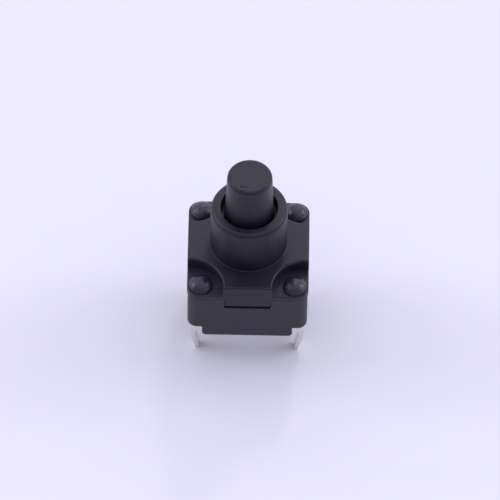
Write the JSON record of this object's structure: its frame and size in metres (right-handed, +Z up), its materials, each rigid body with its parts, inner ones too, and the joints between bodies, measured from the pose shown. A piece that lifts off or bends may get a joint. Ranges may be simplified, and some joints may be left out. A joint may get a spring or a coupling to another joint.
{
  "type": "tactile push button switch",
  "caption": "Square sealed tactile push switch with a tall round boss, a plunger that springs back, staked corner posts and kinked leads for a circuit board.",
  "frame": {"origin": "middle of the face of the stand-off that seats on the circuit board", "axes": "+Z up the plunger's axis, the leads at the two X sides, the front towards -Y"},
  "size_m": [0.008, 0.008, 0.0152],
  "materials": {
    "housing_plastic": "satin moulded black",
    "cover_plastic": "satin moulded black",
    "plunger_plastic": "satin moulded black",
    "plated_lead": "silver plated, bright",
    "dome_steel": "bright rolled",
    "boot_silicone": "matt, slightly translucent"
  },
  "bodies": {
    "housing": {"base_housing": "housing_plastic", "cover": "cover_plastic", "terminal_front": "plated_lead", "terminal_rear": "plated_lead", "snap_dome": "dome_steel", "sealing_boot": "boot_silicone"},
    "button": {"plunger": "plunger_plastic"}
  },
  "joints": [
    {"name": "plunger_press", "type": "slide", "parent": "housing", "child": "button", "axis": [0, 0, -1], "range_m": [0, 0.00035], "stiffness_N_per_m": 3900, "springref_m": -0.0001, "deforming": ["snap_dome", "sealing_boot"]}
  ]
}
